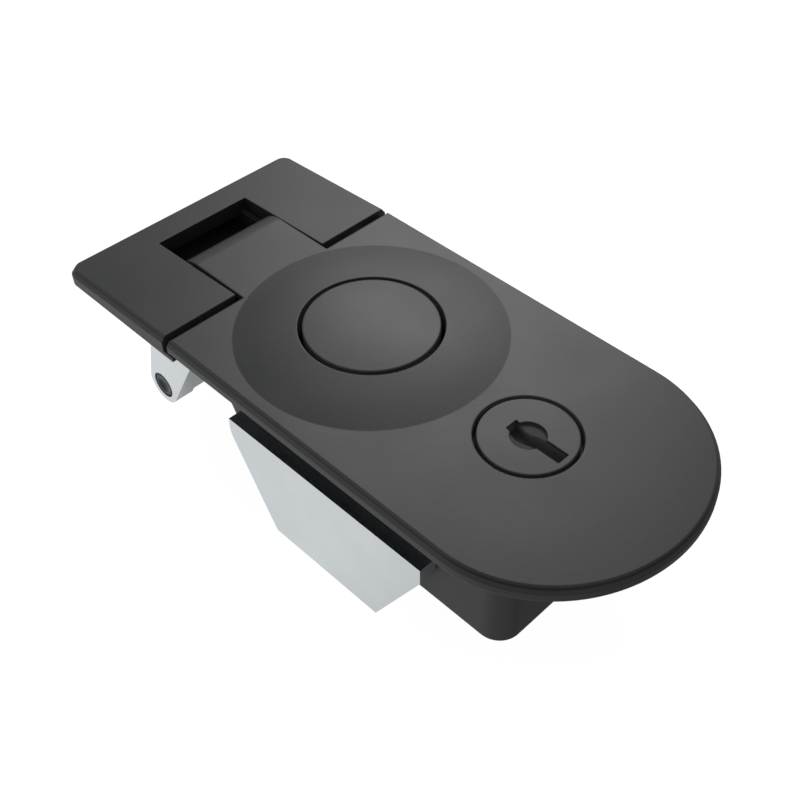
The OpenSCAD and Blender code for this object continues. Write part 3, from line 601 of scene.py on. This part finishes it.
def make_piece(
    name: str, shells: Sequence[Shell], material: bpy.types.Material, slot: Slot, body: Body, *nodes: str
) -> bpy.types.Object:
    """Joins shells into one piece, dresses it and sets it on its body.

    Args:
        name: the piece's name.
        shells: closed shells, in metres.
        material: its finish.
        slot: the record's finish slot; not used.
        body: the body it rides on.
        nodes: CAD nodes that it stands for.

    Returns:
        The new object.
    """
    counts = np.cumsum([0] + [len(shell[0]) for shell in shells])
    points = np.concatenate([shell[0] for shell in shells])
    grids = [part + at for shell, at in zip(shells, counts) for part in shell[1:]]
    faces = [face for grid in grids for face in grid.tolist()]
    mesh = bpy.data.meshes.new(name)
    mesh.from_pydata(points.tolist(), [], faces)
    mesh.polygons.foreach_set("use_smooth", np.ones(len(faces), dtype=bool))
    mesh.set_sharp_from_angle(angle=SMOOTH_UNDER)
    mesh.materials.append(material)
    mesh.update()
    piece = bpy.data.objects.new(name, mesh)
    bpy.context.scene.collection.objects.link(piece)
    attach(piece, body.value)
    if nodes:
        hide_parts(*nodes)
    LOG.info("piece %s: %d faces on %s", name, len(faces), body.value)
    return piece


def dress_node(node: str, material: bpy.types.Material, edge: float = 0.15, steps: int = 2) -> None:
    """Gives a CAD node its finish and softens its sharp edges.

    Args:
        node: the node's name.
        material: its finish.
        edge: width of the softened edge, in millimetres; nought leaves the casting's own rounds.
        steps: faces across that edge.
    """
    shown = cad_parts[node]
    if not shown.material_slots:
        shown.data.materials.append(material)
    for held in shown.material_slots:
        held.link = "OBJECT"
        held.material = material
    if edge > 0:
        weld = shown.modifiers.new("join", "WELD")
        weld.merge_threshold = WELD_GAP
        soft = shown.modifiers.new("soft_edge", "BEVEL")
        soft.width = edge * MM
        soft.segments = steps
        soft.limit_method = "ANGLE"
        soft.angle_limit = BEVEL_OVER
        soft.use_clamp_overlap = True
        soft.harden_normals = True
        soft.miter_outer = "MITER_ARC"
    LOG.info("node %s dressed in %s", node, material.name)


# Small hardware.


@dataclass(frozen=True)
class SocketScrew:
    """Cap screw with a hexagon socket, its head's seat at z = 0 and its shank upwards."""

    r: float
    length: float
    head_r: float
    head_h: float
    pitch: float = 0.5
    sides: int = 36

    def profile(self) -> np.ndarray:
        """Works out the screw's stations.

        The socket's wall is a hexagon in polar form, apothem / cos(angle from the nearest flat's
        middle). The thread's radius is r - depth * (1 + cos 2 pi (z / pitch - q / 2 pi)) / 2, faded
        out at both ends.

        Returns:
            Rows of z and then the radius at each angle.
        """
        q = np.linspace(0.0, 2 * np.pi, self.sides, endpoint=False)
        hexagon = self.head_r * 0.55 * np.cos(np.pi / 6) / np.cos((q + np.pi / 6) % (np.pi / 3) - np.pi / 6)
        ones = np.ones(self.sides)
        h, soft = self.head_h, 0.13 * self.head_r
        run, rise = quarter(soft)
        rows = [(-h + 0.6 * h, 0.97 * hexagon), (-h + 0.6 * h, hexagon), (-h + 0.1, hexagon), (-h, hexagon + 0.1)]
        rows += [(-h + b, (self.head_r - soft + a) * ones) for a, b in zip(run, rise)]
        rows += [(-0.12, self.head_r * ones), (0.0, (self.head_r - 0.12) * ones), (0.0, (self.r + 0.02) * ones)]
        head = np.array([np.concatenate([[z], r]) for z, r in rows])
        depth = 0.5 * self.pitch
        z = np.arange(0.25, self.length - 0.35, self.pitch / 8)
        fade = np.clip((z - 0.25) / self.pitch, 0, 1) * np.clip((self.length - 0.35 - z) / self.pitch, 0, 1)
        wave = (1 + np.cos(2 * np.pi * (z[:, None] / self.pitch - q[None] / (2 * np.pi)))) / 2
        tip = np.clip((z - (self.length - 1.2)) / 1.2, 0, 1)[:, None]
        thread = self.r - depth * wave * fade[:, None] - 0.5 * depth * tip
        end = np.concatenate([[self.length], (self.r - 0.9 * depth - 0.15) * ones])
        return np.concatenate([head, np.column_stack([z, thread]), end[None]])

    def shell(self, x: float, y: float, z: float) -> Shell:
        """Returns the screw with its seat at (x, y, z), in millimetres."""
        return skin(turned(self.profile() * MM, (x * MM, y * MM, z * MM), Axis.Z, self.sides))


@dataclass(frozen=True)
class TurnedPin:
    """Pin across the latch with chamfered, centre-drilled ends, and heads where head is above nought."""

    r: float
    reach: float
    chamfer: float = 0.3
    head: float = 0.0
    head_l: float = 0.9

    def shell(self, x: float, z: float) -> Shell:
        """Makes the pin's shell.

        Its half profile runs from the drilled centre over a raised ring and the chamfer to the
        shank, or from a dished face over the head's chamfer, and is mirrored for the other end.

        Args:
            x: place along the latch, in millimetres.
            z: height, in millimetres.

        Returns:
            The shell.
        """
        hole, c, e = 0.3 * self.r, self.chamfer, self.reach
        half = np.array([
            (e - 0.55 * hole - 0.25, 0.12 * hole), (e - 0.25, hole * 0.92), (e - 0.12, hole * 1.18),
            (e, hole * 1.3), (e, self.r - c - 0.08), (e - 0.03, self.r - c),
            (e - c, self.r - 0.04), (e - c - 0.06, self.r), (0.4 * e, self.r),
        ])
        if self.head > 0:
            e, r = self.reach + self.head_l, self.head
            dish = np.linspace(0.03, 0.74, 12)
            face = np.stack([e - 0.42 * np.cos(dish / 0.74 * np.pi / 2), dish * r], axis=1)
            rim = [
                (e, 0.78 * r), (e, r - 0.3), (e - 0.05, r - 0.18), (e - 0.2, r - 0.03), (e - 0.3, r),
                (self.reach + 0.05, r), (self.reach, r - 0.05), (self.reach, self.r), (0.4 * e, self.r),
            ]
            half = np.concatenate([face, rim])
        whole = np.concatenate([half, half[::-1] * (-1, 1)])
        return skin(turned(whole * MM, (x * MM, 0.0, z * MM), Axis.Y, 56))


@dataclass(frozen=True)
class PressSpring:
    """Compression spring with closed ends, wound about its own axis."""

    coil_r: float
    wire_r: float
    length: float
    turns: float

    def path(self) -> Tuple[np.ndarray, np.ndarray]:
        """Works out the wire's middle line.

        The wire climbs in proportion to a pitch that is small in the first and last turn and full
        between them; out is the radius direction.

        Returns:
            Points and outs, along local +Z from nought, in millimetres.
        """
        t = np.linspace(0.0, self.turns, int(self.turns * 40) + 1)
        edge = np.minimum(t, self.turns - t)
        pitch = 0.34 + 0.66 * np.clip((edge - 0.55) / 0.5, 0, 1)
        climb = np.concatenate([[0.0], np.cumsum((pitch[1:] + pitch[:-1]) / 2)])
        z = self.wire_r + (self.length - 2 * self.wire_r) * climb / climb[-1]
        a = 2 * np.pi * t
        outs = np.column_stack([np.cos(a), np.sin(a), np.zeros_like(a)])
        return self.coil_r * outs + z[:, None] * (0.0, 0.0, 1.0), outs


# Sub-assemblies.


@dataclass
class FlangeBox:
    """Cast flange with its dome, tongue and box, and the cover behind it."""

    cover_x: Tuple[float, float] = (8.5, 48.5)
    cover_y: float = 18.4
    cover_z: float = -19.0

    def dress(self, finish: Finishes) -> None:
        """Finishes the casting and the plated cover."""
        dress_node("housing", finish.black, 0.0)
        dress_node("rear_cover", finish.zinc, 0.2)

    def build(self, finish: Finishes) -> None:
        """Makes the four cover screws."""
        screw = SocketScrew(r=1.5, length=9.0, head_r=2.3, head_h=1.8)
        shells = [screw.shell(x, s * self.cover_y, self.cover_z) for x in self.cover_x for s in (-1, 1)]
        make_piece("cover_screw_set", shells, finish.screw, Slot.STEEL, Body.HOUSING, "cover_screws")


@dataclass
class PullLever:
    """U-shaped lever with its hinge, drive and catch pins."""

    hinge: Tuple[float, float] = (-29.5, 0.5)
    drive: Tuple[float, float] = (-28.942, -11.653)
    tail: Tuple[float, float] = (-20.828, -9.479)

    def dress(self, finish: Finishes) -> None:
        """Finishes the lever's casting."""
        dress_node("lever", finish.lever, 0.0)

    def build(self, finish: Finishes) -> None:
        """Makes the three pins."""
        pins = (
            ("hinge_pin_turned", TurnedPin(1.5, 18.45), self.hinge, Body.HOUSING, "hinge_pin"),
            ("drive_pin_turned", TurnedPin(2.0, 15.05), self.drive, Body.LEVER, "drive_pin"),
            ("catch_pin_turned", TurnedPin(1.6, 15.05), self.tail, Body.LEVER, "catch_pin"),
        )
        for name, pin, at, body, node in pins:
            make_piece(name, [pin.shell(*at)], finish.steel, Slot.STEEL, body, node)


@dataclass
class PawlGroup:
    """Bracket with its ears, the hook pawl, its pin, spacers and kick spring."""

    pivot: Tuple[float, float] = (-37.6, -20.2)
    hub_r: float = 5.6
    wire_r: float = 0.5
    kick_r: float = 4.45
    kick_y: float = -15.45
    kick_w: float = 4.85
    kick_turns: int = 3
    anchor: float = 2.5
    over: float = 4.0
    root_turn: float = 100.0
    arm_end: Tuple[float, float] = (-12.5, 3.6)
    arm_gap: float = 0.15
    bend: float = 0.9
    foot_x: float = -22.05
    foot_y: Tuple[float, ...] = (-19.0, -7.0, 7.0, 19.0)
    foot_z: float = -2.5

    def dress(self, finish: Finishes) -> None:
        """Finishes the plated bracket and pawl and the steel spacers."""
        dress_node("latch_bracket", finish.zinc, 0.15, 3)
        dress_node("pawl", finish.zinc, 0.3, 3)
        dress_node("pawl_spacers", finish.steel, 0.15)

    def build(self, finish: Finishes) -> None:
        """Makes the pawl pin, the foot's screws and the kick spring."""
        make_piece(
            "pawl_pin_turned", [TurnedPin(2.5, 23.0, 0.4, 2.62).shell(*self.pivot)], finish.pivot, Slot.STEEL,
            Body.HOUSING, "pawl_pin",
        )
        screw = SocketScrew(r=1.25, length=4.5, head_r=2.1, head_h=1.8, pitch=0.45)
        shells = [screw.shell(self.foot_x, y, self.foot_z) for y in self.foot_y]
        make_piece("bracket_screw_set", shells, finish.screw, Slot.STEEL, Body.HOUSING, "bracket_screws")
        path, outs = self.kick_path()
        shell = skin(sweep(path * MM, outs, self.wire_r * MM))
        make_piece("kick_spring_wire", [shell], finish.wire, Slot.SPRING, Body.HOUSING, "kick_spring")

    def kick_path(self) -> Tuple[np.ndarray, np.ndarray]:
        """Works out the torsion spring's middle line.

        The wire comes out of the ear along +Y, bends through a quarter round into the coil, turns
        about the pivot, leaves along the coil's tangent to the pawl's arm and bends along +Y over it.

        Returns:
            Points and outs in the latch's frame, in millimetres.
        """
        pivot = np.array(self.pivot)
        turn = np.radians(self.root_turn)
        root = pivot + self.hub_r * np.array([np.cos(turn), np.sin(turn)])
        far = pivot + np.array(self.arm_end)
        arm = (root - far) / np.linalg.norm(root - far)
        rest = far + arm + (self.wire_r + self.arm_gap) * np.array([-arm[1], arm[0]]) - pivot
        reach = np.linalg.norm(rest)
        a0 = np.arctan2(rest[1], rest[0]) - np.arccos(self.kick_r / reach)
        leg = np.sqrt(reach ** 2 - self.kick_r ** 2)
        u = np.array([np.cos(a0), 0.0, np.sin(a0)])
        t = np.array([-np.sin(a0), 0.0, np.cos(a0)])
        w = np.array([0.0, 1.0, 0.0])
        bend = self.bend
        low, high = self.wire_r, self.kick_w - self.wire_r
        q = np.linspace(0.0, np.pi / 2, 9)[:, None]
        hole = self.kick_r * u + np.linspace(low - self.anchor, low - bend, 6)[:, None] * w
        first = self.kick_r * u + (low - bend) * w + bend * (np.sin(q) * w + (1 - np.cos(q)) * t)
        start = np.arctan(bend / self.kick_r)
        a = np.linspace(start + 0.12, 2 * np.pi * self.kick_turns, 48 * self.kick_turns)[:, None]
        r = self.kick_r + 0.09 * np.exp(-3 * (a - start))
        rise = low + (high - low) * a / (2 * np.pi * self.kick_turns)
        outs_coil = np.cos(a) * u + np.sin(a) * t
        coil = r * outs_coil + rise * w
        away = self.kick_r * u + high * w + np.linspace(0.4, leg - bend, 8)[:, None] * t
        last = self.kick_r * u + high * w + (leg - bend) * t + bend * (np.sin(q[1:]) * t + (1 - np.cos(q[1:])) * w)
        end = self.kick_r * u + leg * t + np.linspace(high + bend + 0.3, high + self.over, 6)[:, None] * w
        path = np.concatenate([hole, first[1:], coil, away, last, end])
        fixed = len(hole) + len(first) - 1
        outs = np.concatenate([np.tile(u, (fixed, 1)), outs_coil, np.tile(u, (len(path) - fixed - len(a), 1))])
        return path + np.array([self.pivot[0], self.kick_y, self.pivot[1]]), outs


@dataclass
class ButtonGroup:
    """Domed button, its spring and bridge, and the sliding catch with its spring."""

    bridge_top: float = -9.579
    bridge_t: float = 1.5
    cap_in: float = 2.65
    travel: float = 3.5
    post_y: float = 18.4
    post_x: float = 18.5
    catch_l: float = 8.0
    catch_z: float = -12.379

    def dress(self, finish: Finishes) -> None:
        """Finishes the button, the bridge and the catch."""
        dress_node("push_button", finish.black, 0.0)
        dress_node("guide_bridge", finish.zinc)
        dress_node("catch_plate", finish.zinc, 0.2)

    def build(self, finish: Finishes) -> None:
        """Makes both springs and the bridge's screws."""
        height = self.cap_in - self.bridge_top
        spring = PressSpring(coil_r=7.6, wire_r=0.55, length=height, turns=5.5)
        path, outs = spring.path()
        path = path + np.array([0.0, 0.0, self.bridge_top])
        coil = make_piece(
            "button_spring_wire", [skin(sweep(path * MM, outs, spring.wire_r * MM))], finish.wire, Slot.SPRING,
            Body.HOUSING, "button_spring",
        )
        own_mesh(coil)
        spring = PressSpring(coil_r=1.8, wire_r=0.35, length=self.catch_l, turns=7.5)
        path, outs = spring.path()
        path, outs = path[:, [2, 1, 0]] * (1, 1, -1), outs[:, [2, 1, 0]] * (1, 1, -1)
        path = path + np.array([self.post_x - self.catch_l, 0.0, self.catch_z])
        coil = make_piece(
            "catch_spring_wire", [skin(sweep(path * MM, outs, spring.wire_r * MM, 10))], finish.wire, Slot.SPRING,
            Body.HOUSING, "catch_spring",
        )
        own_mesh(coil)
        screw = SocketScrew(r=1.5, length=7.0, head_r=2.3, head_h=1.8)
        shells = [screw.shell(0.0, s * self.post_y, self.bridge_top - self.bridge_t) for s in (-1, 1)]
        make_piece("bridge_screw_set", shells, finish.screw, Slot.STEEL, Body.HOUSING, "bridge_screws")


@dataclass
class KeyLock:
    """Lock plug in its sleeve, with the cam and its screw behind."""

    lock_x: float = LOCK_X
    cam_seat: float = -13.379

    def dress(self, finish: Finishes) -> None:
        """Finishes the plug, its sleeve, ring and cam."""
        dress_node("lock_plug", finish.plug, 0.0)
        dress_node("lock_sleeve", finish.sleeve)
        dress_node("lock_ring", finish.wire, 0.1)
        dress_node("lock_cam", finish.zinc, 0.2)

    def build(self, finish: Finishes) -> None:
        """Makes the cam's screw."""
        shell = SocketScrew(r=1.5, length=6.0, head_r=4.4, head_h=1.6).shell(self.lock_x, 0.0, self.cam_seat)
        make_piece("cam_screw_cut", [shell], finish.screw, Slot.STEEL, Body.LOCK, "cam_screw")


@dataclass
class PanelClamp:
    """U-shaped clamp with its two screws and washers."""

    x: float = 15.9
    y: float = 15.0
    seat_z: float = -29.5

    def dress(self, finish: Finishes) -> None:
        """Finishes the plated clamp and washers."""
        dress_node("mounting_clamp", finish.zinc, 0.35, 3)
        dress_node("clamp_washers", finish.zinc, 0.15)

    def build(self, finish: Finishes) -> None:
        """Makes the two long screws."""
        screw = SocketScrew(r=2.4, length=24.5, head_r=4.2, head_h=3.0, pitch=0.8, sides=48)
        shells = [screw.shell(self.x, s * self.y, self.seat_z) for s in (-1, 1)]
        make_piece("clamp_screw_pair", shells, finish.screw, Slot.STEEL, Body.HOUSING, "clamp_screws")


# Studio.


@dataclass
class Studio:
    """Camera at the photograph's viewpoint, soft lights, and a pale floor."""

    camera_at: Tuple[float, float, float] = (0.117996, -0.109141, 0.144405)
    back: Tuple[float, float, float] = (0.505081, -0.497897, 0.704976)
    right: Tuple[float, float, float] = (0.706052, 0.708137, -0.005722)
    lens: float = 51.8415
    floor_half: float = 3.0
    floor_glow: Tuple[float, float] = (0.62, 0.34)
    # Painted shadow: how far the floor's glow dims beneath the latch.
    floor_painted_shadow: float = 0.35
    floor_white: float = 0.94
    floor_gap: float = 0.002
    glow_x: Tuple[float, float] = (0.01, 0.07)
    # Painted shadow: span in Y over which the floor's glow dims.
    painted_shadow_y: Tuple[float, float] = (-0.028, -0.014)
    room_light: Tuple[float, float] = (0.45, 1.05)

    def build(self) -> None:
        """Sets the stage."""
        self.camera()
        self.world()
        self.floor()
        self.lamp("back_softbox", (-0.2341, 0.2871, 0.3359), 0.252, 0.93)
        self.lamp("front_fill", (-0.252, -0.407, 0.143), 0.3, 0.18)
        bpy.context.scene.view_settings.view_transform = "Standard"

    def camera(self) -> None:
        """Stands the camera where the photograph was taken from."""
        data = bpy.data.cameras.new("photo_camera")
        data.lens = self.lens
        data.sensor_width = 36.0
        data.clip_start = 0.001
        shown = bpy.data.objects.new("photo_camera", data)
        bpy.context.scene.collection.objects.link(shown)
        back = Vector(self.back).normalized()
        up = back.cross(Vector(self.right)).normalized()
        right = up.cross(back)
        rows = [(right[i], up[i], back[i], self.camera_at[i]) for i in range(3)]
        shown.matrix_world = Matrix((*rows, (0, 0, 0, 1)))
        bpy.context.scene.camera = shown

    def world(self) -> None:
        """Gives the room an even, slightly cool white, as bright to the eye as the floor."""
        world = bpy.data.worlds.new("studio")
        world.use_nodes = True
        shade = world.node_tree.nodes["Background"]
        shade.inputs["Color"].default_value = (0.97, 0.985, 1.0, 1.0)
        kit = NodeKit(world.node_tree)
        seen = kit.node("ShaderNodeLightPath").outputs["Is Camera Ray"]
        kit.link(kit.remap(seen, (0.0, 1.0), self.room_light), shade.inputs["Strength"])
        bpy.context.scene.world = world

    def floor(self) -> None:
        """Lays the pale floor under the lowest point of the latch. Camera rays see its glow as an even white; to
        other rays it glows as a soft light that falls off to the right, with a painted shadow beneath the latch.
        """
        h, z = self.floor_half, CAD_BOX[0][2] - self.floor_gap
        mesh = bpy.data.meshes.new("floor")
        mesh.from_pydata([(-h, -h, z), (h, -h, z), (h, h, z), (-h, h, z)], [], [(0, 1, 2, 3)])
        kit = MaterialKit("pale_floor")
        kit.shader.inputs["Base Color"].default_value = (0.2, 0.2, 0.2, 1.0)
        kit.shader.inputs["Roughness"].default_value = 0.9
        kit.shader.inputs["Specular IOR Level"].default_value = 0.0
        kit.shader.inputs["Emission Color"].default_value = (1.0, 1.0, 1.0, 1.0)
        parts = kit.parts()
        fall = kit.remap(parts["X"], self.glow_x, self.floor_glow)
        # Painted shadow: the floor's glow dims where it lies beneath the latch.
        under = kit.remap(parts["Y"], self.painted_shadow_y, (1.0, self.floor_painted_shadow))
        seen = kit.node("ShaderNodeLightPath").outputs["Is Camera Ray"]
        glow = kit.remap(seen, (0.0, 1.0), (kit.math("MULTIPLY", fall, under), self.floor_white))
        kit.link(glow, kit.shader.inputs["Emission Strength"])
        mesh.materials.append(kit.material)
        shown = bpy.data.objects.new("floor", mesh)
        bpy.context.scene.collection.objects.link(shown)

    def lamp(self, name: str, at: Tuple[float, float, float], size: float, power: float) -> None:
        """Hangs a square soft light that looks at the latch."""
        data = bpy.data.lights.new(name, "AREA")
        data.size = size
        data.energy = power
        shown = bpy.data.objects.new(name, data)
        shown.location = at
        shown.rotation_euler = (Vector((0.0, 0.0, 0.0)) - Vector(at)).to_track_quat("-Z", "Y").to_euler()
        bpy.context.scene.collection.objects.link(shown)


def main() -> None:
    """Builds and dresses every sub-assembly, then sets the stage."""
    logging.basicConfig(level=logging.INFO, format="%(name)s %(message)s")
    finish = Finishes()
    for part in (FlangeBox(), PullLever(), PawlGroup(), ButtonGroup(), KeyLock(), PanelClamp()):
        part.dress(finish)
        part.build(finish)
        LOG.info("%s done", type(part).__name__)
    Studio().build()


if __name__ == "__main__":
    main()
